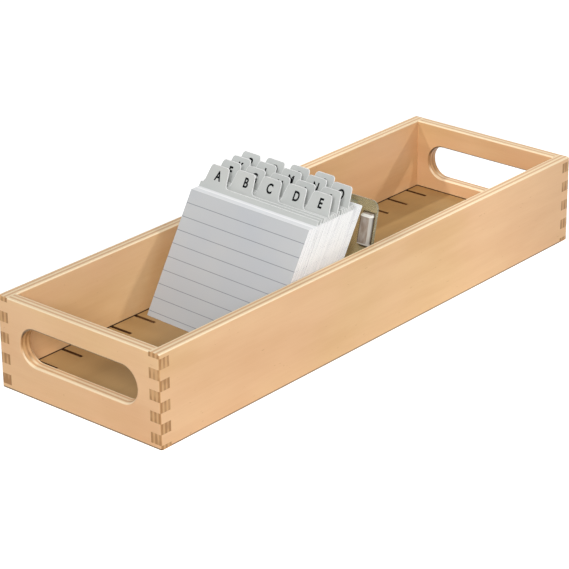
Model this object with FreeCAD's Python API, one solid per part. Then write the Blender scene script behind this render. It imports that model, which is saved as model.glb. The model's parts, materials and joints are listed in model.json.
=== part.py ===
import FreeCAD, Part
import math
import os

# Index card drawer: an open finger-jointed plywood tray, a slotted floor, a clear card
# support that stands in the slots, and a leaning file of cards with tabbed dividers.
# Frame: origin under the middle of the tray, +X to the right of its front end panel,
# +Y from the front end to the rear end, +Z up. Millimetres and degrees.

Vec = FreeCAD.Vector

# tray boards; the inside width is the card width with some play at each side
card_width = 148.0
card_side_play = 10.0
tray_length = 592.0
tray_height = 88.0
board_thickness = 12.0
corner_radius = 2.0
rim_radius = 1.6

# finger joints at the four corners; the side boards keep a low finger at the rim
rim_finger_height = 4.35
finger_height = 9.95

# hand slot in each end panel, rounded outside where the fingers go in, eased inside
handle_end_margin = 26.8
handle_height = 34.5
handle_drop = 22.5
handle_edge_radius = 2.2
handle_inner_chamfer = 1.4

# floor panel, let into grooves in the boards
floor_thickness = 5.0
floor_recess = 12.0
groove_depth = 5.0
groove_slack = 0.5
panel_slack = 0.5

# rows of paired slots across the floor, for the feet of the card support
slot_pitch = 31.2
slot_length = 25.0
slot_wall_gap = 0.6
slot_end_land = 14.0

# clear card support
support_row = 8
support_thickness = 2.0
support_lean = 13.0
support_height = 110.5
support_wall_gap = 1.4
support_corner_radius = 8.0
foot_width = 20.0
foot_depth = 4.4
foot_clearance = 0.2
rail_width = 120.0
rail_height = 9.0
rail_depth = 8.0
rail_corner_radius = 3.0
rail_top_inset = 4.0
grip_width = 12.0
grip_height = 30.0
grip_depth = 7.0
grip_wall = 1.6
grip_corner_radius = 1.2
grip_side_inset = 2.4
grip_top_inset = 12.0

# cards and dividers
card_height = 123.2
card_thickness = 0.28
card_lean = 29.5
file_skew = 3.0
file_side_shift = -1.0
standing_clearance = 0.3
touch_clearance = 0.15
front_card_count = 31
rear_card_count = 35
divider_thickness = 0.6
section_clearance = 0.12
divider_rise = 4.8
tab_height = 18.5
tab_positions = 5
tab_left_margin = 3.6
tab_base_inset = 0.4
tab_side_slope = 3.0
tab_corner_radius = 3.4
tab_root_radius = 4.0

# one divider for each letter, and how many cards stand behind it
divider_letters = "abcdefghijklmnopqrs"
section_card_counts = (12, 11, 4, 5, 5, 5, 5, 5, 6, 8, 11, 6, 5, 5, 4, 4, 5, 5, 5)

tray_width = card_width + 2 * (card_side_play + board_thickness)
handle_length = tray_width - 2 * handle_end_margin
half_width = tray_width / 2
half_length = tray_length / 2
inner_half_width = half_width - board_thickness
inner_half_length = half_length - board_thickness
floor_top = floor_recess + floor_thickness
overshoot = 2.0
pick_tolerance = 0.01
merge_distance = 1e-6


def block(low, high):
    """Box between two corners given as (x, y, z)."""
    size = [b - a for a, b in zip(low, high)]
    return Part.makeBox(size[0], size[1], size[2], Vec(*low))


def rounded_wire(points):
    """Closed wire in the XZ plane through (x, z, radius) corners, each rounded by its radius."""
    edges = []
    ends = []
    count = len(points)
    for i in range(count):
        x, z, radius = points[i]
        corner = Vec(x, 0, z)
        before = Vec(points[i - 1][0], 0, points[i - 1][1]) - corner
        after = Vec(points[(i + 1) % count][0], 0, points[(i + 1) % count][1]) - corner
        if radius <= 0:
            ends.append((corner, corner))
            continue
        half_angle = before.getAngle(after) / 2
        before.normalize()
        after.normalize()
        run = radius / math.tan(half_angle)
        start = corner + before * run
        end = corner + after * run
        bisector = (before + after).normalize()
        middle = corner + bisector * (radius / math.sin(half_angle) - radius)
        edges.append(Part.Arc(start, middle, end).toShape())
        ends.append((start, end))
    for i in range(count):
        start = ends[i - 1][1]
        end = ends[i][0]
        if start.distanceToPoint(end) > merge_distance:
            edges.append(Part.LineSegment(start, end).toShape())
    return Part.Wire(Part.__sortEdges__(edges))


def plate(points, thickness):
    """Upright plate with a rounded outline, from y = 0 forwards to y = -thickness."""
    return Part.Face(rounded_wire(points)).extrude(Vec(0, -thickness, 0))


def end_finger_bands():
    """Heights (low, high) of the fingers that belong to the end panels."""
    bands = []
    top = tray_height - rim_finger_height
    while top - finger_height > 0:
        bands.append((top - finger_height, top))
        top -= 2 * finger_height
    if top > 0:
        bands.append((0, top))
    return bands


def handle_slot(side):
    """Hand slot through the end panel on the given side, -1 front or +1 rear."""
    end = handle_height / 2
    flat = handle_length / 2 - end
    middle_z = tray_height - handle_drop - end
    near_y = side * (half_length - board_thickness / 2) - board_thickness / 2 - overshoot
    depth = board_thickness + 2 * overshoot
    slot = block((-flat, near_y, middle_z - end), (flat, near_y + depth, middle_z + end))
    for way in (-1, 1):
        round_end = Part.makeCylinder(end, depth, Vec(way * flat, near_y, middle_z), Vec(0, 1, 0))
        slot = slot.fuse(round_end)
    return slot.removeSplitter()


def handle_mouth(ring, face_y):
    """Edges where a hand slot breaks through the face of an end panel that lies at face_y."""
    high = tray_height - handle_drop + pick_tolerance
    low = high - handle_height - 2 * pick_tolerance
    return [edge for edge in ring.Edges
            if abs(edge.BoundBox.YMin - face_y) < pick_tolerance
            and edge.BoundBox.YLength < pick_tolerance
            and edge.BoundBox.ZMin > low and edge.BoundBox.ZMax < high]


def rim_edges(ring):
    """Edges of the top rim, inner and outer."""
    return [edge for edge in ring.Edges if edge.BoundBox.ZMin > tray_height - pick_tolerance]


def frame_of_boards():
    """The four boards as one ring, with rounded rim, corners and hand slots and the floor groove."""
    outer = block((-half_width, -half_length, 0), (half_width, half_length, tray_height))
    upright = [edge for edge in outer.Edges if edge.BoundBox.ZLength > tray_height / 2]
    outer = outer.makeFillet(corner_radius, upright)
    inner = block((-inner_half_width, -inner_half_length, -overshoot),
                  (inner_half_width, inner_half_length, tray_height + overshoot))
    ring = outer.cut(inner)
    for side in (-1, 1):
        ring = ring.cut(handle_slot(side))
        ring = ring.makeFillet(handle_edge_radius, handle_mouth(ring, side * half_length))
        ring = ring.makeChamfer(handle_inner_chamfer, handle_mouth(ring, side * inner_half_length))
    ring = ring.makeFillet(rim_radius, rim_edges(ring))
    reach_x = inner_half_width + groove_depth
    reach_y = inner_half_length + groove_depth
    groove = block((-reach_x, -reach_y, floor_recess),
                   (reach_x, reach_y, floor_top + groove_slack))
    return ring.cut(groove)


def end_panel_space(side):
    """Room taken by an end panel: the span between the side boards and its fingers."""
    near = inner_half_length if side > 0 else -half_length
    far = near + board_thickness
    space = block((-inner_half_width, near, 0), (inner_half_width, far, tray_height))
    for low, high in end_finger_bands():
        space = space.fuse(block((-half_width, near, low), (half_width, far, high)))
    return space.removeSplitter()


def tray_boards():
    """The four boards, cut from one ring so that their fingers fill each other's gaps."""
    ring = frame_of_boards()
    front_space = end_panel_space(-1)
    rear_space = end_panel_space(1)
    sides = ring.cut(front_space).cut(rear_space)
    left_half = block((-half_width, -half_length, 0), (0, half_length, tray_height))
    right_half = block((0, -half_length, 0), (half_width, half_length, tray_height))
    return {
        "front_panel": ring.common(front_space),
        "rear_panel": ring.common(rear_space),
        "left_side": sides.common(left_half),
        "right_side": sides.common(right_half),
    }


slot_width = (support_thickness / math.cos(math.radians(support_lean))
              + floor_thickness * math.tan(math.radians(support_lean)) + 2 * foot_clearance)
slot_rows = 1 + int(2 * (inner_half_length - slot_end_land) // slot_pitch)
slot_centre_x = inner_half_width - slot_wall_gap - slot_length / 2


def slot_row_y(row):
    """Place along the tray of one row of floor slots."""
    return (row - (slot_rows - 1) / 2) * slot_pitch


def bottom_panel():
    """Floor panel resting in the grooves, pierced by a pair of slots in each row."""
    reach_x = inner_half_width + groove_depth - panel_slack
    reach_y = inner_half_length + groove_depth - panel_slack
    panel = block((-reach_x, -reach_y, floor_recess), (reach_x, reach_y, floor_top))
    low_z = floor_recess - overshoot
    high_z = floor_top + overshoot
    cutters = []
    for row in range(slot_rows):
        for side in (-1, 1):
            centre_x = side * slot_centre_x
            low = (centre_x - slot_length / 2, slot_row_y(row) - slot_width / 2, low_z)
            high = (centre_x + slot_length / 2, slot_row_y(row) + slot_width / 2, high_z)
            cutters.append(block(low, high))
    return panel.cut(cutters)


support_half_width = inner_half_width - support_wall_gap


def grip_pad(x_low, x_high, z_low, z_high):
    """Raised pad on the front of the support plate, and the hollow behind its face."""
    front = -grip_depth - support_thickness / 2
    outer = block((x_low, front, z_low), (x_high, 0, z_high))
    outer = outer.makeFillet(grip_corner_radius, [edge for edge in outer.Edges if edge.BoundBox.YMin < 0])
    hollow = block((x_low + grip_wall, front + grip_wall, z_low + grip_wall),
                   (x_high - grip_wall, support_thickness, z_high - grip_wall))
    return outer, hollow


def card_support():
    """Leaning plate with two feet, a top rail and two hollow grips, as one moulding."""
    top = support_height
    side = support_half_width
    radius = support_corner_radius
    root = -floor_thickness
    outline = [(-side, root, 0), (side, root, 0), (side, top, radius), (-side, top, radius)]
    body = plate(outline, support_thickness)
    body.translate(Vec(0, support_thickness / 2, 0))
    rail_high = top - rail_top_inset
    rail_low = rail_high - rail_height
    rail_points = [(x, z, rail_corner_radius) for x, z in (
        (-rail_width / 2, rail_low), (rail_width / 2, rail_low),
        (rail_width / 2, rail_high), (-rail_width / 2, rail_high))]
    body = body.fuse(plate(rail_points, rail_depth + support_thickness / 2))
    for sign in (-1, 1):
        far = sign * (side - grip_side_inset)
        near = far - sign * grip_width
        z_high = top - grip_top_inset
        pad, hollow = grip_pad(min(near, far), max(near, far), z_high - grip_height, z_high)
        body = body.fuse(pad).cut(hollow)
    body.rotate(Vec(0, 0, 0), Vec(1, 0, 0), -support_lean)
    drop = floor_thickness / 2
    shift = drop * math.tan(math.radians(support_lean))
    body.translate(Vec(0, slot_row_y(support_row) + shift, floor_top))
    return body.cut(support_foot_waste()).removeSplitter()


def support_foot_waste():
    """All that the support may not fill at and below the floor's top, leaving its two feet."""
    low_y = slot_row_y(support_row) - 4 * board_thickness
    high_y = slot_row_y(support_row) + 4 * board_thickness
    deep = floor_top - 4 * floor_thickness
    foot_low = slot_centre_x - foot_width / 2
    foot_high = slot_centre_x + foot_width / 2
    waste = [block((-foot_low, low_y, deep), (foot_low, high_y, floor_top))]
    for sign in (-1, 1):
        outer_low = min(sign * foot_high, sign * half_width)
        outer_high = max(sign * foot_high, sign * half_width)
        waste.append(block((outer_low, low_y, deep), (outer_high, high_y, floor_top)))
    waste.append(block((-half_width, low_y, deep), (half_width, high_y, floor_top - foot_depth)))
    return waste


lean = math.radians(card_lean)
skew = math.radians(file_skew)
along_tray = 1 / (math.cos(lean) * math.cos(skew))
all_cards = front_card_count + sum(section_card_counts) + rear_card_count
file_thickness = (all_cards * card_thickness + section_clearance
                  + len(divider_letters) * (divider_thickness + section_clearance))


def rail_front_y(height):
    """Where the front of the support's rail stands at a height above the tray's base."""
    tilt = math.radians(support_lean)
    middle = floor_top - floor_thickness / 2
    forward = (support_thickness / 2 + rail_depth) / math.cos(tilt)
    return slot_row_y(support_row) + (height - middle) * math.tan(tilt) - forward


def rail_top_z():
    """Height of the front upper edge of the support's rail."""
    tilt = math.radians(support_lean)
    return (floor_top + (support_height - rail_top_inset) * math.cos(tilt)
            + (support_thickness / 2 + rail_depth) * math.sin(tilt))


def file_front_y():
    """Foot of the front cards on the tray's centre line, with the last card touching the rail."""
    foot = floor_top + standing_clearance
    contact = min(foot + card_height * math.cos(lean), rail_top_z())
    run = (contact - foot) * math.tan(lean)
    corner = rail_width / 2 + file_side_shift + run * math.sin(skew)
    return (rail_front_y(contact) - touch_clearance - corner * math.tan(skew)
            - run * math.cos(skew) - file_thickness * along_tray)


def leaning_sheet(outline, thickness, offset):
    """Sheet or pack of sheets that leans back in the file, each card cut level at its foot."""
    face = Part.Face(rounded_wire(outline))
    face.rotate(Vec(0, 0, 0), Vec(1, 0, 0), -card_lean)
    face.rotate(Vec(0, 0, 0), Vec(0, 0, 1), -file_skew)
    sheet = face.extrude(Vec(0, thickness * along_tray, 0))
    sheet.translate(Vec(file_side_shift, file_front_y() + offset * along_tray,
                        floor_top + standing_clearance))
    return sheet


def card_pack(count, offset):
    """Pack of plain cards, its front face at a depth in the file."""
    half = card_width / 2
    outline = [(-half, 0, 0), (half, 0, 0), (half, card_height, 0), (-half, card_height, 0)]
    return leaning_sheet(outline, count * card_thickness, offset)


def divider(position, offset):
    """Divider sheet with one rounded tab at a position across its top edge."""
    half = card_width / 2
    shoulder = card_height + divider_rise
    tab_top = shoulder + tab_height
    pitch = (card_width - tab_left_margin) / tab_positions
    low = -half + tab_left_margin + position * pitch + tab_base_inset
    high = low + pitch - 2 * tab_base_inset
    right = [(half, shoulder, 0), (high, shoulder, tab_root_radius)]
    if position == tab_positions - 1:
        right = [(half, shoulder, tab_root_radius)]
    tab = [(high - tab_side_slope, tab_top, tab_corner_radius),
           (low + tab_side_slope, tab_top, tab_corner_radius),
           (low, shoulder, tab_root_radius)]
    outline = [(-half, 0, 0), (half, 0, 0)] + right + tab + [(-half, shoulder, 0)]
    return leaning_sheet(outline, divider_thickness, offset)


def section_offsets():
    """Depth in the file of each divider, then of the rear cards."""
    offsets = [front_card_count * card_thickness + section_clearance]
    for count in section_card_counts:
        offsets.append(offsets[-1] + divider_thickness + count * card_thickness + section_clearance)
    return offsets


def card_file():
    """Front cards, then each divider with the cards behind it, then the rear cards."""
    pieces = {"front_cards": card_pack(front_card_count, 0)}
    offsets = section_offsets()
    for index, letter in enumerate(divider_letters):
        pieces["divider_" + letter] = divider(index % tab_positions, offsets[index])
        pieces["cards_" + letter] = card_pack(section_card_counts[index], offsets[index] + divider_thickness)
    pieces["rear_cards"] = card_pack(rear_card_count, offsets[-1])
    return pieces


def main():
    os.makedirs("parts", exist_ok=True)
    pieces = tray_boards()
    pieces["bottom_panel"] = bottom_panel()
    pieces["card_support"] = card_support()
    pieces.update(card_file())
    for name, shape in pieces.items():
        solid = shape.Solids[0] if len(shape.Solids) == 1 else shape
        print(name, len(shape.Solids), "solid", round(shape.Volume), "mm3", shape.isValid())
        solid.exportStep("parts/" + name + ".step")


main()
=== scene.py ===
import json
import math
import random

import bpy
from mathutils import Matrix, Vector


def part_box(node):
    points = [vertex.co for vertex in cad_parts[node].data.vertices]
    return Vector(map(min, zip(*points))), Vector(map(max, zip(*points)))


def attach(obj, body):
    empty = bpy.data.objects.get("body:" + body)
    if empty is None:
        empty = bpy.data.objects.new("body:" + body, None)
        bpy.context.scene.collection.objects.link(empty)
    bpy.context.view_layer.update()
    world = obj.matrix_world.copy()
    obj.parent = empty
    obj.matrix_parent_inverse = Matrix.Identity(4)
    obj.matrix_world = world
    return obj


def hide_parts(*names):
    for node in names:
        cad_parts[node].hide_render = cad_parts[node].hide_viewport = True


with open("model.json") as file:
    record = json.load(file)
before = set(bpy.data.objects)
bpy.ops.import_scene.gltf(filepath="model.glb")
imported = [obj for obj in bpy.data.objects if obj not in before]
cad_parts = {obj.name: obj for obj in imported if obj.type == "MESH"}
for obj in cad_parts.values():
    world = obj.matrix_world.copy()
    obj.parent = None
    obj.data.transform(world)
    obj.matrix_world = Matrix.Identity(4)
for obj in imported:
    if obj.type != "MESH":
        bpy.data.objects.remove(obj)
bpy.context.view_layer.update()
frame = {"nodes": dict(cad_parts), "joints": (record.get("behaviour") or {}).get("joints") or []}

nodes = frame["nodes"]
joints = {joint["name"]: joint for joint in frame["joints"]}
bpy.ops.object.select_all(action="DESELECT")
print("frame loaded:", len(nodes), "nodes")


# small helpers
def srgb(red, green, blue):
    # screen colour 0-255 to the linear colour that Blender works in
    def linear(value):
        share = value / 255
        return share / 12.92 if share <= 0.04045 else ((share + 0.055) / 1.055) ** 2.4
    return (linear(red), linear(green), linear(blue), 1.0)


def pick(obj):
    bpy.ops.object.select_all(action="DESELECT")
    obj.select_set(True)
    bpy.context.view_layer.objects.active = obj


def settle(obj, name):
    # the piece's place goes into its mesh, and its object sits at the origin
    obj.name = name
    obj.data.name = name
    obj.data.transform(obj.matrix_world)
    obj.matrix_world = Matrix.Identity(4)
    return obj


def joinAll(objects):
    bpy.ops.object.select_all(action="DESELECT")
    for obj in objects:
        obj.select_set(True)
    bpy.context.view_layer.objects.active = objects[0]
    bpy.ops.object.join()
    return objects[0]


# camera, light and floor; places in metres, turns and cones in degrees, power in watts
studio = {
    "cameraPlace": (1.3181, -1.5548, 0.9198),
    "cameraTurn": (66.268, 0.509, 40.555),
    "lens": 150.255,
    "sensor": 36.0,
    "viewEnd": 30,
    "floorSize": 14.0,
    "floorDrop": 0.0004,
    "floorRoughness": 0.9,
    "floorColor": srgb(228, 228, 228),
    "floorGlow": 0.75,
    "worldLight": 0.26,
    "fill": {"place": (1.62, -2.38, 1.7), "aim": (0, 0, 0.05), "size": 1.2, "power": 73},
    "spots": {
        "sideKey": {"place": (2.24, 0.9, 1.39), "aim": (0, -0.2, 0.05), "radius": 0.06, "cone": 20,
                    "blend": 0.8, "power": 72},
        "rearRight": {"place": (2.15, 1.58, 1.27), "aim": (-0.02, 0.29, 0.05), "radius": 0.06, "cone": 13,
                      "blend": 0.7, "power": 56},
        "rearLeft": {"place": (-1.28, -1.0, 2.0), "aim": (0.02, 0.27, 0.05), "radius": 0.05, "cone": 11,
                     "blend": 0.7, "power": 92},
    },
}


def addCamera():
    bpy.ops.object.camera_add(location=studio["cameraPlace"])
    camera = bpy.context.object
    camera.name = "viewCamera"
    camera.rotation_euler = [math.radians(turn) for turn in studio["cameraTurn"]]
    camera.data.lens = studio["lens"]
    camera.data.sensor_width = studio["sensor"]
    camera.data.clip_end = studio["viewEnd"]
    bpy.context.scene.camera = camera


def pointAt(obj, target):
    obj.rotation_euler = (Vector(target) - obj.location).to_track_quat("-Z", "Y").to_euler()


def addLamps():
    fill = studio["fill"]
    bpy.ops.object.light_add(type="AREA", location=fill["place"])
    light = bpy.context.object
    light.name = "frontFill"
    light.data.size = fill["size"]
    light.data.energy = fill["power"]
    pointAt(light, fill["aim"])
    for name, spot in studio["spots"].items():
        bpy.ops.object.light_add(type="SPOT", location=spot["place"])
        light = bpy.context.object
        light.name = name
        light.data.energy = spot["power"]
        light.data.shadow_soft_size = spot["radius"]
        light.data.spot_size = math.radians(spot["cone"])
        light.data.spot_blend = spot["blend"]
        pointAt(light, spot["aim"])


def seenDirectly(tree):
    # 1 for rays that see the background, directly or in gloss or glass
    path = tree.nodes.new("ShaderNodeLightPath")
    first = tree.nodes.new("ShaderNodeMath")
    first.operation = "MAXIMUM"
    second = tree.nodes.new("ShaderNodeMath")
    second.operation = "MAXIMUM"
    tree.links.new(path.outputs["Is Camera Ray"], first.inputs[0])
    tree.links.new(path.outputs["Is Glossy Ray"], first.inputs[1])
    tree.links.new(first.outputs[0], second.inputs[0])
    tree.links.new(path.outputs["Is Transmission Ray"], second.inputs[1])
    return second.outputs[0]


def addWorld():
    world = bpy.data.worlds.new("studioWorld")
    bpy.context.scene.world = world
    world.use_nodes = True
    tree = world.node_tree
    background = tree.nodes["Background"]
    background.inputs["Color"].default_value = (1, 1, 1, 1)
    strength = tree.nodes.new("ShaderNodeMapRange")
    strength.inputs["To Min"].default_value = studio["worldLight"]
    strength.inputs["To Max"].default_value = 1.0
    tree.links.new(seenDirectly(tree), strength.inputs["Value"])
    tree.links.new(strength.outputs["Result"], background.inputs["Strength"])


def addFloor():
    bpy.ops.mesh.primitive_plane_add(size=studio["floorSize"], location=(0, 0, -studio["floorDrop"]))
    floor = bpy.context.object
    floor.name = "studioFloor"
    paper = bpy.data.materials.new("studioPaper")
    paper.use_nodes = True
    tree = paper.node_tree
    shader = tree.nodes["Principled BSDF"]
    shader.inputs["Base Color"].default_value = studio["floorColor"]
    shader.inputs["Roughness"].default_value = studio["floorRoughness"]
    shader.inputs["Specular IOR Level"].default_value = 0.0
    shader.inputs["Emission Color"].default_value = (1, 1, 1, 1)
    glow = tree.nodes.new("ShaderNodeMath")
    glow.operation = "MULTIPLY"
    glow.inputs[1].default_value = studio["floorGlow"]
    tree.links.new(seenDirectly(tree), glow.inputs[0])
    tree.links.new(glow.outputs[0], shader.inputs["Emission Strength"])
    floor.data.materials.append(paper)


bpy.context.scene.view_settings.view_transform = "Standard"
addCamera()
addLamps()
addWorld()
addFloor()
print("studio ready")


# shader building blocks
def mathNode(tree, operation, first, second=None, clamp=False):
    node = tree.nodes.new("ShaderNodeMath")
    node.operation = operation
    node.use_clamp = clamp
    for socket, value in zip(node.inputs, (first, second)):
        if value is None:
            continue
        if isinstance(value, (int, float)):
            socket.default_value = value
        else:
            tree.links.new(value, socket)
    return node.outputs[0]


def mixColor(tree, factor, first, second, blend="MIX"):
    node = tree.nodes.new("ShaderNodeMix")
    node.data_type = "RGBA"
    node.blend_type = blend
    colors = [socket for socket in node.inputs if socket.type == "RGBA"]
    for socket, value in zip((node.inputs[0], colors[0], colors[1]), (factor, first, second)):
        if isinstance(value, (int, float, tuple)):
            socket.default_value = value
        else:
            tree.links.new(value, socket)
    return [socket for socket in node.outputs if socket.type == "RGBA"][0]


def ramp(tree, value, low, high, out=(0.0, 1.0)):
    # smooth step of a value between two limits
    node = tree.nodes.new("ShaderNodeMapRange")
    node.interpolation_type = "SMOOTHSTEP"
    node.inputs["From Min"].default_value = low
    node.inputs["From Max"].default_value = high
    node.inputs["To Min"].default_value = out[0]
    node.inputs["To Max"].default_value = out[1]
    tree.links.new(value, node.inputs["Value"])
    return node.outputs["Result"]


def noise(tree, vector, scale, detail=2.0, rough=0.5):
    # scale is three numbers, in waves a metre along each axis
    mapping = tree.nodes.new("ShaderNodeMapping")
    mapping.inputs["Scale"].default_value = scale
    tree.links.new(vector, mapping.inputs["Vector"])
    node = tree.nodes.new("ShaderNodeTexNoise")
    node.inputs["Scale"].default_value = 1.0
    node.inputs["Detail"].default_value = detail
    node.inputs["Roughness"].default_value = rough
    tree.links.new(mapping.outputs["Vector"], node.inputs["Vector"])
    return node.outputs["Fac"]


def splitAxes(tree, vector):
    node = tree.nodes.new("ShaderNodeSeparateXYZ")
    tree.links.new(vector, node.inputs[0])
    return node.outputs


def dotProduct(tree, vector, other):
    # other is a fixed direction or another vector socket
    node = tree.nodes.new("ShaderNodeVectorMath")
    node.operation = "DOT_PRODUCT"
    tree.links.new(vector, node.inputs[0])
    if isinstance(other, Vector):
        node.inputs[1].default_value = other
    else:
        tree.links.new(other, node.inputs[1])
    return node.outputs["Value"]


def newGroup(name, inputs, outputs):
    # inputs and outputs: socket name -> socket type
    group = bpy.data.node_groups.new(name, "ShaderNodeTree")
    for label, kind in inputs.items():
        group.interface.new_socket(label, in_out="INPUT", socket_type="NodeSocket" + kind)
    for label, kind in outputs.items():
        group.interface.new_socket(label, in_out="OUTPUT", socket_type="NodeSocket" + kind)
    return group, group.nodes.new("NodeGroupInput"), group.nodes.new("NodeGroupOutput")


grain = {
    # each pattern's waves a metre along, up and into the board
    "bands": (5, 42, 42),
    "streaks": (26, 900, 900),
    "blotches": (9, 16, 16),
    "flecks": (170, 620, 620),
    "clouds": (5, 9, 9),
    "bandShare": 0.4,
    "blotchShare": 0.48,
    "streakShare": 0.12,
    "fleckShare": 0.45,
    "pinkTint": (1.0, 0.978, 1.0, 1.0),
    "oliveTint": (0.972, 0.992, 0.94, 1.0),
    # end grain differs from finger to finger
    "fingerWaves": (90, 90, 75),
    "fingerShare": 3.4,
}


def woodGrainGroup():
    # quiet birch figure: broad bands and fine streaks along the board, blotches, soft tints and small flecks
    group, given, made = newGroup(
        "woodGrain",
        {"Board Vector": "Vector", "Light": "Color", "Dark": "Color", "Fleck": "Color"},
        {"Color": "Color", "Height": "Float"})
    vector = given.outputs["Board Vector"]
    bands = noise(group, vector, grain["bands"], 4, 0.6)
    streaks = noise(group, vector, grain["streaks"], 3, 0.6)
    blotches = noise(group, vector, grain["blotches"], 2, 0.5)
    flecks = noise(group, vector, grain["flecks"], 1, 0.4)
    banded = mathNode(group, "MULTIPLY", ramp(group, bands, 0.32, 0.68), grain["bandShare"])
    blotched = mathNode(group, "MULTIPLY", ramp(group, blotches, 0.3, 0.7), grain["blotchShare"])
    streaked = mathNode(group, "MULTIPLY", ramp(group, streaks, 0.3, 0.7), grain["streakShare"])
    tone = mathNode(group, "ADD", mathNode(group, "ADD", banded, blotched), streaked)
    body = mixColor(group, tone, given.outputs["Light"], given.outputs["Dark"])
    clouds = ramp(group, noise(group, vector, grain["clouds"], 2, 0.5), 0.38, 0.62)
    tint = mixColor(group, clouds, grain["pinkTint"], grain["oliveTint"])
    body = mixColor(group, 1.0, body, tint, "MULTIPLY")
    specks = mathNode(group, "MULTIPLY", ramp(group, flecks, 0.76, 0.82), grain["fleckShare"])
    group.links.new(mixColor(group, specks, body, given.outputs["Fleck"]), made.inputs["Color"])
    group.links.new(streaks, made.inputs["Height"])
    return group


def plyEdgeGroup():
    # edges of plywood: end grain and side grain by turns, ply by ply, and the other way round on the rim
    group, given, made = newGroup(
        "plyEdge",
        {"Face": "Color", "Depth": "Float", "Ply": "Float", "Along Normal": "Float", "Across Normal": "Float",
         "End Dark": "Color", "End Light": "Color", "Rim Dark": "Color", "Rim Light": "Color"},
        {"Color": "Color"})
    layer = mathNode(group, "DIVIDE", given.outputs["Depth"], given.outputs["Ply"])
    place = mathNode(group, "PINGPONG", mathNode(group, "ADD", layer, 0.5), 1.0)
    cross = ramp(group, place, 0.36, 0.6, (1.0, 0.0))
    rims = mixColor(group, cross, given.outputs["Rim Light"], given.outputs["Rim Dark"])
    along = ramp(group, mathNode(group, "ABSOLUTE", given.outputs["Along Normal"]), 0.3, 0.85)
    across = ramp(group, mathNode(group, "ABSOLUTE", given.outputs["Across Normal"]), 0.2, 0.8)
    where = group.nodes.new("ShaderNodeTexCoord")
    wander = noise(group, where.outputs["Object"], grain["fingerWaves"], 1, 0.5)
    wander = mathNode(group, "MULTIPLY", mathNode(group, "SUBTRACT", wander, 0.5), grain["fingerShare"])
    cross = mathNode(group, "ADD", cross, wander, True)
    ends = mixColor(group, cross, given.outputs["End Dark"], given.outputs["End Light"])
    edged = mixColor(group, across, given.outputs["Face"], rims)
    group.links.new(mixColor(group, along, edged, ends), made.inputs["Color"])
    return group


woodGrain = woodGrainGroup()
plyEdge = plyEdgeGroup()


def placeGroup(tree, group, **values):
    node = tree.nodes.new("ShaderNodeGroup")
    node.node_tree = group
    for label, value in values.items():
        socket = node.inputs[label.replace("_", " ")]
        if isinstance(value, (int, float, tuple)):
            socket.default_value = value
        else:
            tree.links.new(value, socket)
    return node.outputs


def newMaterial(name, roughness, ior=1.5):
    material = bpy.data.materials.new(name)
    material.use_nodes = True
    shader = material.node_tree.nodes["Principled BSDF"]
    shader.inputs["Roughness"].default_value = roughness
    shader.inputs["IOR"].default_value = ior
    return material, material.node_tree, shader


def addBump(tree, shader, height, distance, strength=1.0):
    bump = tree.nodes.new("ShaderNodeBump")
    bump.inputs["Distance"].default_value = distance
    bump.inputs["Strength"].default_value = strength
    tree.links.new(height, bump.inputs["Height"])
    tree.links.new(bump.outputs["Normal"], shader.inputs["Normal"])


# plywood boards and floor panel; lengths in metres
boards = {
    "light": srgb(233, 194, 148),
    "dark": srgb(220, 175, 129),
    "fleck": srgb(180, 129, 87),
    "endDark": srgb(167, 123, 78),
    "endLight": srgb(205, 161, 112),
    "rimDark": srgb(230, 184, 138),
    "rimLight": srgb(254, 228, 187),
    # painted highlight colour for rounded edges that turn up, and its share below
    "paintedEdgeHighlight": srgb(255, 236, 203),
    # painted shade colour for edges that turn under and the band just above the foot, its share and the
    # band's height below
    "paintedUnderShade": srgb(66, 50, 32),
    "paintedEdgeHighlightShare": 0.5,
    "paintedUnderShadeShare": 0.8,
    "footShadeHeight": 0.0015,
    "ply": 0.012 / 5,
    "roughness": 0.42,
    "gloss": 0.28,
    "grainBump": 0.00012,
}

floorPanel = {
    "light": srgb(193, 157, 106),
    "dark": srgb(168, 131, 82),
    "fleck": srgb(109, 74, 41),
    "endDark": srgb(84, 54, 29),
    "endLight": srgb(120, 83, 48),
    "rimDark": srgb(84, 54, 29),
    "rimLight": srgb(120, 83, 48),
    # painted highlight colour for rounded edges that turn up, and its share below
    "paintedEdgeHighlight": srgb(191, 155, 104),
    # painted shade colour for edges that turn under and the band just above the foot, its share and the
    # band's height below
    "paintedUnderShade": srgb(66, 50, 32),
    "paintedEdgeHighlightShare": 0.5,
    "paintedUnderShadeShare": 0.8,
    "footShadeHeight": 0.0015,
    # painted shade where the floor runs under the boards, and its width
    "paintedGapShade": srgb(58, 36, 20),
    "gapWidth": 0.0015,
    "ply": 0.005 / 3,
    "roughness": 0.5,
    "gloss": 0.28,
    "grainBump": 0.0001,
}


def gapMask(tree, spot, width):
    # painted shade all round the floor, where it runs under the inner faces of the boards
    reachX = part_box("right_side")[0].x
    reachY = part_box("rear_panel")[0].y
    sideGap = ramp(tree, mathNode(tree, "ABSOLUTE", spot["X"]), reachX - width, reachX - width / 2)
    endGap = ramp(tree, mathNode(tree, "ABSOLUTE", spot["Y"]), reachY - width, reachY - width / 2)
    return mathNode(tree, "MAXIMUM", sideGap, endGap)


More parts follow.
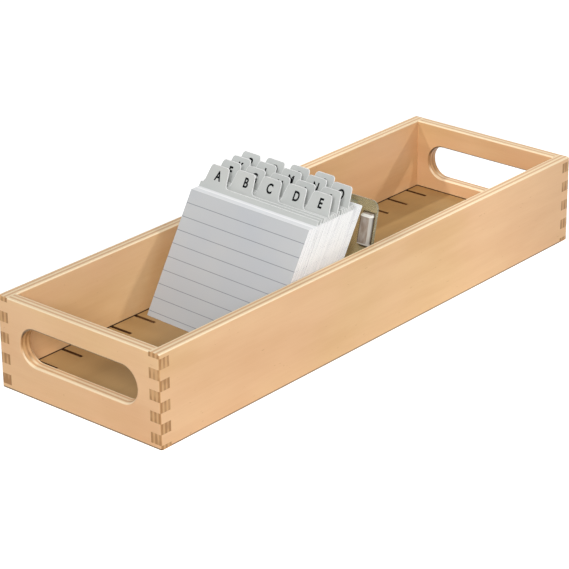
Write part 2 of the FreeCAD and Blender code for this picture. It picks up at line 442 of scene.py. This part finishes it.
def plywood(name, look, depthAxis, alongAxis, acrossAxis, faceAt):
    # depth runs in from the face that lies at faceAt on the depth axis, on either side of the tray
    material, tree, shader = newMaterial(name, look["roughness"])
    shader.inputs["Specular IOR Level"].default_value = look["gloss"]
    place = tree.nodes.new("ShaderNodeTexCoord")
    spot = splitAxes(tree, place.outputs["Object"])
    facing = splitAxes(tree, place.outputs["Normal"])
    depth = mathNode(tree, "SUBTRACT", faceAt, mathNode(tree, "ABSOLUTE", spot[depthAxis]))
    boardVector = tree.nodes.new("ShaderNodeCombineXYZ")
    for socket, axis in zip(boardVector.inputs, (alongAxis, acrossAxis, depthAxis)):
        tree.links.new(spot[axis], socket)
    figure = placeGroup(tree, woodGrain, Board_Vector=boardVector.outputs[0],
                        Light=look["light"], Dark=look["dark"], Fleck=look["fleck"])
    edge = placeGroup(tree, plyEdge, Face=figure["Color"], Depth=depth, Ply=look["ply"],
                      Along_Normal=facing[alongAxis], Across_Normal=facing[acrossAxis],
                      End_Dark=look["endDark"], End_Light=look["endLight"],
                      Rim_Dark=look["rimDark"], Rim_Light=look["rimLight"])
    # rounded edges: painted highlight where they turn up, painted shade where they turn under and in a band
    # just above the foot
    outward = ramp(tree, mathNode(tree, "ABSOLUTE", facing[depthAxis]), 0.15, 0.5)
    upper = mathNode(tree, "MULTIPLY", outward, ramp(tree, facing["Z"], 0.15, 0.5))
    below = mathNode(tree, "MULTIPLY", facing["Z"], -1.0)
    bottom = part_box("right_side")[0].z
    # painted shade in a thin band just above the bottom of the boards
    foot = ramp(tree, spot["Z"], bottom + look["footShadeHeight"], bottom + 0.0008)
    lower = mathNode(tree, "MULTIPLY", outward, mathNode(tree, "MAXIMUM", ramp(tree, below, 0.1, 0.4), foot))
    lightShare = mathNode(tree, "MULTIPLY", upper, look["paintedEdgeHighlightShare"])
    darkShare = mathNode(tree, "MULTIPLY", lower, look["paintedUnderShadeShare"])
    color = mixColor(tree, lightShare, edge["Color"], look["paintedEdgeHighlight"])
    color = mixColor(tree, darkShare, color, look["paintedUnderShade"])
    # painted shade along the floor's edge under the boards
    if "paintedGapShade" in look:
        color = mixColor(tree, gapMask(tree, spot, look["gapWidth"]), color, look["paintedGapShade"])
    tree.links.new(color, shader.inputs["Base Color"])
    addBump(tree, shader, figure["Height"], look["grainBump"], 0.25)
    return material


def dressTray():
    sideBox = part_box("right_side")
    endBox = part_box("rear_panel")
    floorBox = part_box("bottom_panel")
    sideWood = plywood("birchSide", boards, "X", "Y", "Z", sideBox[1].x)
    endWood = plywood("birchEnd", boards, "Y", "X", "Z", endBox[1].y)
    floorWood = plywood("birchFloor", floorPanel, "Z", "Y", "X", floorBox[1].z)
    for name, material in (("left_side", sideWood), ("right_side", sideWood), ("front_panel", endWood),
                           ("rear_panel", endWood), ("bottom_panel", floorWood)):
        nodes[name].data.materials.clear()
        nodes[name].data.materials.append(material)


dressTray()
print("tray dressed")


# cards; lengths in metres, strays are spreads of places
cards = {
    "width": 0.148,
    "height": 0.1232,
    "lean": math.radians(29.5),
    "sheet": 0.00026,
    "pitch": 0.00028,
    "cornerEase": 0.0009,
    "headerDrop": 0.0133,
    "linePitch": 0.0131,
    "lineWidth": 0.00052,
    "lineShare": 0.8,
    # the face colours are the card's pale tint, made greyer than the white cut edges as painted shade
    "face": srgb(207, 210, 212),
    "faceTint": srgb(201, 206, 212),
    # painted highlight along the top edge of each card face
    "paintedTopHighlight": 0.0005,
    # painted shade towards the foot of each card
    "foot": srgb(166, 175, 182),
    "edge": srgb(254, 254, 254),
    "edgeShade": srgb(250, 250, 250),
    # painted shade in the gaps between groups of cards, and its strength
    "gapShade": srgb(120, 122, 126),
    "gapShare": 0.36,
    "line": srgb(98, 104, 122),
    "sideStray": 0.00007,
    "topStray": 0.0001,
    "frontCount": 31,
    "sectionCounts": (12, 11, 4, 5, 5, 5, 5, 5, 6, 8, 11, 6, 5, 5, 4, 4, 5, 5, 5),
    "rearCount": 35,
}


def leafFrame(jointName):
    # the foot of a leaf: its pivot, the line across it, and the ways up the sheet and out of its face
    joint = joints[jointName]
    across = Vector(joint["axis"]).normalized()
    back = Vector((0, 0, 1)).cross(across)
    up = back * math.sin(cards["lean"]) + Vector((0, 0, 1)) * math.cos(cards["lean"])
    return Vector(joint["pos_m"]), across, up, across.cross(up)


def sheetMatrix(jointName, depth):
    # local X across the sheet, Y up it, Z out of its front face; depth moves it back along the tray
    foot, across, up, front = leafFrame(jointName)
    matrix = Matrix((across, up, front)).transposed().to_4x4()
    matrix.translation = foot + Vector((0, -depth / front.y, 0))
    return matrix


def paperFace():
    # blue-grey card with ruled lines: a pale tint made greyer than the white cut edges as painted shade,
    # darker towards its foot as painted shade, and a painted highlight along its top edge; the UV map is in
    # metres, up from the card's foot
    material, tree, shader = newMaterial("ruledCard", 0.75)
    uv = tree.nodes.new("ShaderNodeUVMap")
    uv.uv_map = "cardFace"
    spot = splitAxes(tree, uv.outputs[0])
    start = cards["height"] - cards["headerDrop"] + cards["linePitch"] / 2
    down = mathNode(tree, "SUBTRACT", start, spot["Y"])
    step = mathNode(tree, "FRACT", mathNode(tree, "DIVIDE", down, cards["linePitch"]))
    step = mathNode(tree, "ABSOLUTE", mathNode(tree, "SUBTRACT", step, 0.5))
    off = mathNode(tree, "MULTIPLY", step, cards["linePitch"])
    line = ramp(tree, off, cards["lineWidth"] * 0.35, cards["lineWidth"] * 0.65, (1.0, 0.0))
    line = mathNode(tree, "MULTIPLY", line, ramp(tree, down, 0, 0.0001))
    fibre = noise(tree, uv.outputs[0], (900, 900, 900), 3, 0.6)
    cloud = noise(tree, uv.outputs[0], (14, 14, 14), 2, 0.5)
    paper = mixColor(tree, ramp(tree, cloud, 0.3, 0.7), cards["face"], cards["faceTint"])
    # painted shade: darker and bluer towards the card's foot
    low = ramp(tree, spot["Y"], cards["height"] * 0.75, 0, (0, 0.55))
    paper = mixColor(tree, low, paper, cards["foot"])
    paper = mixColor(tree, mathNode(tree, "MULTIPLY", fibre, 0.06), paper, cards["edge"])
    # painted highlight along the top edge of the face, stronger on some cards than others
    topHighlight = ramp(tree, spot["Y"], cards["height"] - cards["paintedTopHighlight"],
               cards["height"] - cards["paintedTopHighlight"] * 0.6)
    place = tree.nodes.new("ShaderNodeTexCoord")
    topHighlight = mathNode(tree, "MULTIPLY", topHighlight, ramp(tree, stackNoise(tree, place, 600), 0.35, 0.65, (0.45, 1)))
    paper = mixColor(tree, topHighlight, paper, cards["edge"])
    tree.links.new(mixColor(tree, mathNode(tree, "MULTIPLY", line, cards["lineShare"]), paper, cards["line"]),
                   shader.inputs["Base Color"])
    addBump(tree, shader, fibre, 0.00004, 0.2)
    return material


def stackNoise(tree, place, pitch):
    # varies from card to card through the file, and only slightly along each card
    apart = tree.nodes.new("ShaderNodeCombineXYZ")
    depth = dotProduct(tree, place.outputs["Object"], leafFrame("front_cards_tip")[3])
    tree.links.new(depth, apart.inputs["X"])
    tree.links.new(splitAxes(tree, place.outputs["Object"])["Z"], apart.inputs["Y"])
    return noise(tree, apart.outputs[0], (pitch, 12, 1), 1, 0.5)


def paperEdge():
    # white cut edges and backs, with faint differences from card to card and thin grey lines of painted shade
    # between some cards
    material, tree, shader = newMaterial("cardEdge", 0.8)
    place = tree.nodes.new("ShaderNodeTexCoord")
    fine = noise(tree, place.outputs["Object"], (300, 2600, 300), 2, 0.6)
    paper = mixColor(tree, ramp(tree, fine, 0.52, 0.72), cards["edge"], cards["edgeShade"])
    # painted shade: thin grey lines between some cards
    gaps = mathNode(tree, "MULTIPLY", ramp(tree, stackNoise(tree, place, 900), 0.6, 0.66), cards["gapShare"])
    tree.links.new(mixColor(tree, gaps, paper, cards["gapShade"]), shader.inputs["Base Color"])
    return material


def makeCard():
    # one thin card standing on its foot: front face outwards along +Z, corners eased
    bpy.ops.mesh.primitive_plane_add(size=1, location=(0, 0, 0))
    card = bpy.context.object
    bpy.ops.object.mode_set(mode="EDIT")
    bpy.ops.mesh.select_all(action="SELECT")
    bpy.ops.transform.resize(value=(cards["width"], cards["height"], 1))
    bpy.ops.transform.translate(value=(0, cards["height"] / 2, 0))
    bpy.ops.mesh.bevel(offset=cards["cornerEase"], segments=2, affect="VERTICES")
    bpy.ops.mesh.extrude_region_move(TRANSFORM_OT_translate={"value": (0, 0, -cards["sheet"])})
    bpy.ops.mesh.select_all(action="SELECT")
    bpy.ops.mesh.normals_make_consistent(inside=False)
    bpy.ops.object.mode_set(mode="OBJECT")
    card.data.uv_layers.new(name="cardFace")
    layer = card.data.uv_layers["cardFace"]
    for loop in card.data.loops:
        corner = card.data.vertices[loop.vertex_index].co
        layer.data[loop.index].uv = (corner.x, corner.y)
    card.data.materials.append(paperMaterial["edge"])
    card.data.materials.append(paperMaterial["face"])
    for face in card.data.polygons:
        face.material_index = 1 if face.normal.z > 0.9 else 0
    return card


def stackCards(name, body, jointName, node, start, count, pattern):
    # fills a pack's depth with single cards that stand a little unevenly
    sheets = []
    for index in range(count):
        sheet = pattern.copy()
        sheet.data = pattern.data.copy()
        bpy.context.collection.objects.link(sheet)
        stray = Matrix.Translation((dice.gauss(0, 1) * cards["sideStray"],
                                    abs(dice.gauss(0, 1)) * cards["topStray"], 0))
        sheet.data.transform(sheetMatrix(jointName, start + index * cards["pitch"]) @ stray)
        sheets.append(sheet)
    stack = settle(joinAll(sheets), name)
    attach(stack, body)
    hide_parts(node)
    return stack


sections = [letter for letter in "abcdefghijklmnopqrs" if "divider_" + letter in nodes]
dice = random.Random(7)
paperMaterial = {"face": paperFace(), "edge": paperEdge()}


def addCards():
    pattern = makeCard()
    stackCards("front_card_sheets", "front_stack", "front_cards_tip", "front_cards", 0,
               cards["frontCount"], pattern)
    for letter, count in zip(sections, cards["sectionCounts"]):
        stackCards("card_sheets_" + letter, "section_" + letter, "section_" + letter + "_tip",
                   "cards_" + letter, dividers["sheet"], count, pattern)
    stackCards("rear_card_sheets", "rear_stack", "rear_cards_tip", "rear_cards", 0,
               cards["rearCount"], pattern)
    bpy.data.objects.remove(pattern)


# dividers and their letters
dividers = {
    "sheet": 0.0006,
    "face": srgb(208, 210, 207),
    "faceShade": srgb(202, 205, 203),
    # the next two: colour and width of the painted highlight on and just inside the cut edges
    "edge": srgb(252, 253, 252),
    "highlightWidth": 0.001,
    "roughness": 0.5,
    "tabs": 5,
    "tabMargin": 0.0036,
    "letterSize": 0.0128,
    "letterWidth": 0.8,
    "letterFoot": 0.1328,
    "letterShift": 0.0008,
    "letterWeight": 0.0004,
    "letterLift": 0.00003,
    "letterStrays": {"b": 0.0022, "c": -0.0008, "d": 0.0014},
    "ink": srgb(8, 9, 12),
    "inkSpeckle": srgb(22, 24, 28),
}


def dividerSheet():
    # fine-grained grey plastic; its cut edges, and a line just inside them, are painted near white as painted
    # highlight
    material, tree, shader = newMaterial("greyDivider", dividers["roughness"])
    place = tree.nodes.new("ShaderNodeTexCoord")
    facing = dotProduct(tree, place.outputs["Normal"], leafFrame("front_cards_tip")[3])
    flat = ramp(tree, mathNode(tree, "ABSOLUTE", facing), 0.8, 0.95)
    cloud = noise(tree, place.outputs["Object"], (22, 22, 22), 3, 0.5)
    grit = noise(tree, place.outputs["Object"], (2200, 2200, 2200), 2, 0.5)
    body = mixColor(tree, ramp(tree, cloud, 0.3, 0.7), dividers["face"], dividers["faceShade"])
    # painted highlight: a light line just inside the cut edges of each face
    highlightBevel = tree.nodes.new("ShaderNodeBevel")
    highlightBevel.samples = 6
    highlightBevel.inputs["Radius"].default_value = dividers["highlightWidth"]
    sharp = tree.nodes.new("ShaderNodeNewGeometry")
    turn = dotProduct(tree, highlightBevel.outputs[0], sharp.outputs["True Normal"])
    body = mixColor(tree, ramp(tree, turn, 0.998, 0.95), body, dividers["edge"])
    # painted highlight: the cut edges themselves take the near-white edge colour
    tree.links.new(mixColor(tree, flat, dividers["edge"], body), shader.inputs["Base Color"])
    addBump(tree, shader, grit, 0.00005, 0.3)
    return material


def inkMaterial():
    material, tree, shader = newMaterial("letterInk", 0.8)
    shader.inputs["Specular IOR Level"].default_value = 0.1
    place = tree.nodes.new("ShaderNodeTexCoord")
    speckle = noise(tree, place.outputs["Object"], (1800, 1800, 1800), 2, 0.5)
    tree.links.new(mixColor(tree, speckle, dividers["ink"], dividers["inkSpeckle"]),
                   shader.inputs["Base Color"])
    return material


def addLetter(letter, position, material):
    # one plain index letter, printed on the front of its tab
    bpy.ops.object.text_add(location=(0, 0, 0))
    text = bpy.context.object
    text.data.body = letter.upper()
    text.data.size = dividers["letterSize"]
    text.data.align_x = "CENTER"
    text.data.extrude = dividers["letterLift"]
    text.data.offset = dividers["letterWeight"]
    bpy.ops.object.convert(target="MESH")
    text = bpy.context.object
    pitch = (cards["width"] - dividers["tabMargin"]) / dividers["tabs"]
    centre = dividers["tabMargin"] - cards["width"] / 2 + (position + 0.5) * pitch + dividers["letterShift"]
    centre += dividers["letterStrays"].get(letter, 0)
    place = Matrix.Translation((centre, dividers["letterFoot"], 0))
    slim = Matrix.Diagonal((dividers["letterWidth"], 1, 1, 1))
    text.data.transform(sheetMatrix("section_" + letter + "_tip", 0) @ place @ slim)
    text.data.materials.clear()
    text.data.materials.append(material)
    settle(text, "letter_" + letter)
    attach(text, "section_" + letter)


def dressDividers():
    sheet = dividerSheet()
    ink = inkMaterial()
    for index, letter in enumerate(sections):
        node = nodes["divider_" + letter]
        node.data.materials.clear()
        node.data.materials.append(sheet)
        addLetter(letter, index % dividers["tabs"], ink)


addCards()
print("cards filed")
dressDividers()
print("dividers lettered")


# clear card support, modelled upright with its foot at the origin and then leaned back
support = {
    "lean": math.radians(13),
    "halfWidth": 0.0826,
    "height": 0.1105,
    "thickness": 0.002,
    "footGap": 0.00025,
    "cornerRadius": 0.008,
    "footCentre": 0.0709,
    "footWidth": 0.020,
    "footDepth": 0.00425,
    "rail": {"width": 0.120, "height": 0.009, "depth": 0.008, "drop": 0.004, "corner": 0.003},
    "grip": {"centre": 0.0742, "width": 0.0122, "height": 0.0315, "depth": 0.0056, "drop": 0.012,
             "sideDraft": 0.0008, "endDraft": 0.0024, "wall": 0.0013},
    "edgeSoftness": 0.0003,
    "padSlack": 0.0002,
    # widths of the painted highlights along the grip face's edges and of the painted shade on its inner side
    "lips": {"top": 0.0009, "bottom": 0.0007, "side": 0.0003, "inner": 0.0005, "soft": 0.0004},
    # width of the painted shade in the crease round each grip's foot
    "creaseShadeWidth": 0.0004,
    "plate": srgb(224, 218, 180),
    "plateShade": srgb(214, 211, 180),
    "gripFace": srgb(158, 141, 128),
    # painted shade on the grip's sideways faces
    "gripSideShade": srgb(98, 88, 78),
    "gripLight": srgb(255, 252, 244),
    # colour of the painted shade in the crease round each grip and on its inner side
    "creaseShade": srgb(62, 46, 30),
    "plateClarity": 0.72,
    "gripClarity": 0.15,
    "roughness": 0.18,
    "ior": 1.49,
}


def addBlock(low, high):
    size = [top - bottom for bottom, top in zip(low, high)]
    middle = [(top + bottom) / 2 for bottom, top in zip(low, high)]
    bpy.ops.mesh.primitive_cube_add(size=1, location=middle, scale=size)
    bpy.ops.object.transform_apply(location=True, rotation=False, scale=True)
    return bpy.context.object


def selectEdges(block, wanted):
    # edges whose two ends both pass the test
    bpy.ops.object.mode_set(mode="EDIT")
    bpy.ops.mesh.select_mode(type="EDGE")
    bpy.ops.mesh.select_all(action="DESELECT")
    bpy.ops.object.mode_set(mode="OBJECT")
    for edge in block.data.edges:
        edge.select = all(wanted(block.data.vertices[index].co) for index in edge.vertices)
    bpy.ops.object.mode_set(mode="EDIT")


def selectFaces(block, wanted):
    bpy.ops.object.mode_set(mode="EDIT")
    bpy.ops.mesh.select_mode(type="FACE")
    bpy.ops.mesh.select_all(action="DESELECT")
    bpy.ops.object.mode_set(mode="OBJECT")
    for face in block.data.polygons:
        face.select = wanted(face)
    bpy.ops.object.mode_set(mode="EDIT")


def cutOrJoin(base, tool, operation):
    pick(base)
    change = base.modifiers.new("shape", "BOOLEAN")
    change.operation = operation
    change.solver = "EXACT"
    change.object = tool
    bpy.ops.object.modifier_apply(modifier=change.name)
    bpy.data.objects.remove(tool)


def roundUpright(block, wanted, radius, segments):
    # rounds corners seen from the front, along edges that run from front to back
    for side in (-1, 1):
        selectEdges(block, lambda spot, side=side: spot.x * side > 0 and wanted(spot))
        bpy.ops.mesh.bevel(offset=radius, segments=segments, affect="EDGES")
        bpy.ops.object.mode_set(mode="OBJECT")


def draftedPad(side, grow, back):
    # raised pad on the plate's front, narrower at its face; a negative grow gives the hollow behind it
    grip = support["grip"]
    middle = side * grip["centre"]
    high = support["height"] - grip["drop"] + grow
    low = high - grip["height"] - 2 * grow
    front = -support["thickness"] / 2 - grip["depth"] - grow
    pad = addBlock((middle - grip["width"] / 2 - grow, front, low),
                   (middle + grip["width"] / 2 + grow, back, high))
    selectFaces(pad, lambda face: face.normal.y < -0.9)
    bpy.ops.transform.resize(value=(1 - 2 * grip["sideDraft"] / grip["width"], 1,
                                    1 - 2 * grip["endDraft"] / grip["height"]))
    bpy.ops.object.mode_set(mode="OBJECT")
    return pad


def makeSupport():
    half = support["thickness"] / 2
    top = support["height"]
    rail = support["rail"]
    body = addBlock((-support["halfWidth"], -half, support["footGap"]), (support["halfWidth"], half, top))
    roundUpright(body, lambda spot: spot.z > top / 2, support["cornerRadius"], 8)
    for side in (-1, 1):
        middle = side * support["footCentre"]
        foot = addBlock((middle - support["footWidth"] / 2, -half, -support["footDepth"]),
                        (middle + support["footWidth"] / 2, half, support["footWidth"] / 2))
        cutOrJoin(body, foot, "UNION")
        cutOrJoin(body, draftedPad(side, 0, 0), "UNION")
    bar = addBlock((-rail["width"] / 2, -half - rail["depth"], top - rail["drop"] - rail["height"]),
                   (rail["width"] / 2, 0, top - rail["drop"]))
    roundUpright(bar, lambda spot: True, rail["corner"], 5)
    cutOrJoin(body, bar, "UNION")
    for side in (-1, 1):
        cutOrJoin(body, draftedPad(side, -support["grip"]["wall"], 2 * half), "DIFFERENCE")
    pick(body)
    soft = body.modifiers.new("soft", "BEVEL")
    soft.width = support["edgeSoftness"]
    soft.segments = 2
    soft.limit_method = "ANGLE"
    soft.angle_limit = math.radians(25)
    bpy.ops.object.modifier_apply(modifier=soft.name)
    bpy.ops.object.shade_smooth_by_angle(angle=math.radians(28))
    layer = body.data.uv_layers.new(name="supportFace")
    for loop in body.data.loops:
        corner = body.data.vertices[loop.vertex_index].co
        layer.data[loop.index].uv = (corner.x, corner.z)
    return body


def padLayout(tree):
    # how far a spot lies across and up from a grip's middle, and beyond its outline, from the plate's UV map
    grip = support["grip"]
    uv = tree.nodes.new("ShaderNodeUVMap")
    uv.uv_map = "supportFace"
    spot = splitAxes(tree, uv.outputs[0])
    across = mathNode(tree, "SUBTRACT", mathNode(tree, "ABSOLUTE", spot["X"]), grip["centre"])
    up = mathNode(tree, "SUBTRACT", spot["Y"], support["height"] - grip["drop"] - grip["height"] / 2)
    beside = mathNode(tree, "SUBTRACT", mathNode(tree, "ABSOLUTE", across), grip["width"] / 2)
    above = mathNode(tree, "SUBTRACT", mathNode(tree, "ABSOLUTE", up), grip["height"] / 2)
    return across, up, mathNode(tree, "MAXIMUM", beside, above)


def band(tree, value, middle, reach, soft):
    # 1 within reach of the middle value, fading over the soft distance
    away = mathNode(tree, "ABSOLUTE", mathNode(tree, "SUBTRACT", value, middle))
    return ramp(tree, away, reach, reach + soft, (1.0, 0.0))


def platePlastic():
    # hazy tinted plate, with painted shade in the crease round the foot of each grip
    material, tree, shader = newMaterial("tintedPlate", support["roughness"], support["ior"])
    shader.inputs["Transmission Weight"].default_value = support["plateClarity"]
    place = tree.nodes.new("ShaderNodeTexCoord")
    beyond = padLayout(tree)[2]
    haze = noise(tree, place.outputs["Object"], (60, 60, 60), 3, 0.5)
    body = mixColor(tree, ramp(tree, haze, 0.3, 0.7), support["plate"], support["plateShade"])
    # painted shade in the crease round each grip's foot
    creaseShade = mathNode(tree, "MULTIPLY", band(tree, beyond, 0.0003, support["creaseShadeWidth"], 0.0005), 0.85)
    tree.links.new(mixColor(tree, creaseShade, body, support["creaseShade"]), shader.inputs["Base Color"])
    tree.links.new(ramp(tree, haze, 0.3, 0.8, (support["roughness"] - 0.04, support["roughness"] + 0.06)),
                   shader.inputs["Roughness"])
    return material


def gripPlastic():
    # the thicker grips look smoky, with painted highlights along the face's edges above, below and on the
    # outer side, and painted shade on the inner side, round the grip's root and on the faces turned sideways
    material, tree, shader = newMaterial("smokyGrip", support["roughness"], support["ior"])
    shader.inputs["Transmission Weight"].default_value = support["gripClarity"]
    grip = support["grip"]
    place = tree.nodes.new("ShaderNodeTexCoord")
    across, up, beyond = padLayout(tree)
    haze = noise(tree, place.outputs["Object"], (240, 240, 90), 3, 0.5)
    body = mixColor(tree, mathNode(tree, "MULTIPLY", ramp(tree, haze, 0.3, 0.7), 0.25), support["gripFace"],
                    support["gripLight"])
    # painted shade: faces turned sideways are darker
    facing = splitAxes(tree, place.outputs["Normal"])
    turned = ramp(tree, mathNode(tree, "ABSOLUTE", facing["X"]), 0.6, 0.9)
    body = mixColor(tree, turned, body, support["gripSideShade"])
    faceTop = grip["height"] / 2 - grip["endDraft"]
    faceSide = grip["width"] / 2 - grip["sideDraft"]
    lips = support["lips"]
    # painted highlights along the face's top, bottom and outer edges
    lower = mathNode(tree, "MULTIPLY", band(tree, up, -faceTop, lips["bottom"], lips["soft"]), 0.6)
    outer = mathNode(tree, "MULTIPLY", band(tree, across, faceSide, lips["side"], lips["soft"]), 0.5)
    bright = mathNode(tree, "MAXIMUM", band(tree, up, faceTop, lips["top"], lips["soft"]), lower)
    bright = mathNode(tree, "MAXIMUM", bright, outer)
    body = mixColor(tree, bright, body, support["gripLight"])
    # painted shade on the face's inner side and round the grip's root
    between = ramp(tree, mathNode(tree, "ABSOLUTE", up), faceTop - 0.001, faceTop - lips["soft"], (1.0, 0.0))
    inner = mathNode(tree, "MULTIPLY", band(tree, across, -faceSide, lips["inner"], lips["soft"]), between)
    root = ramp(tree, beyond, -lips["soft"], 0.0)
    dark = mathNode(tree, "MULTIPLY", mathNode(tree, "MAXIMUM", inner, root), 0.75)
    tree.links.new(mixColor(tree, dark, body, support["creaseShade"]), shader.inputs["Base Color"])
    tree.links.new(ramp(tree, haze, 0.3, 0.8, (support["roughness"] - 0.04, support["roughness"] + 0.06)),
                   shader.inputs["Roughness"])
    return material


def addSupport():
    body = makeSupport()
    body.data.materials.append(platePlastic())
    body.data.materials.append(gripPlastic())
    grip = support["grip"]
    slack = support["padSlack"]
    gripMiddle = support["height"] - grip["drop"] - grip["height"] / 2
    for face in body.data.polygons:
        onPad = (abs(abs(face.center.x) - grip["centre"]) < grip["width"] / 2 + slack
                 and abs(face.center.z - gripMiddle) < grip["height"] / 2 + slack
                 and face.center.y < -support["thickness"] / 2 - slack)
        face.material_index = 1 if onPad else 0
    lean = support["lean"]
    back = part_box("card_support")[1].y
    back -= support["height"] * math.sin(lean) + support["thickness"] / 2 * math.cos(lean)
    place = Matrix.Translation((0, back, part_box("bottom_panel")[1].z)) @ Matrix.Rotation(-lean, 4, "X")
    body.data.transform(place)
    settle(body, "support_plate")
    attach(body, "support")
    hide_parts("card_support")


addSupport()
print("support in place")
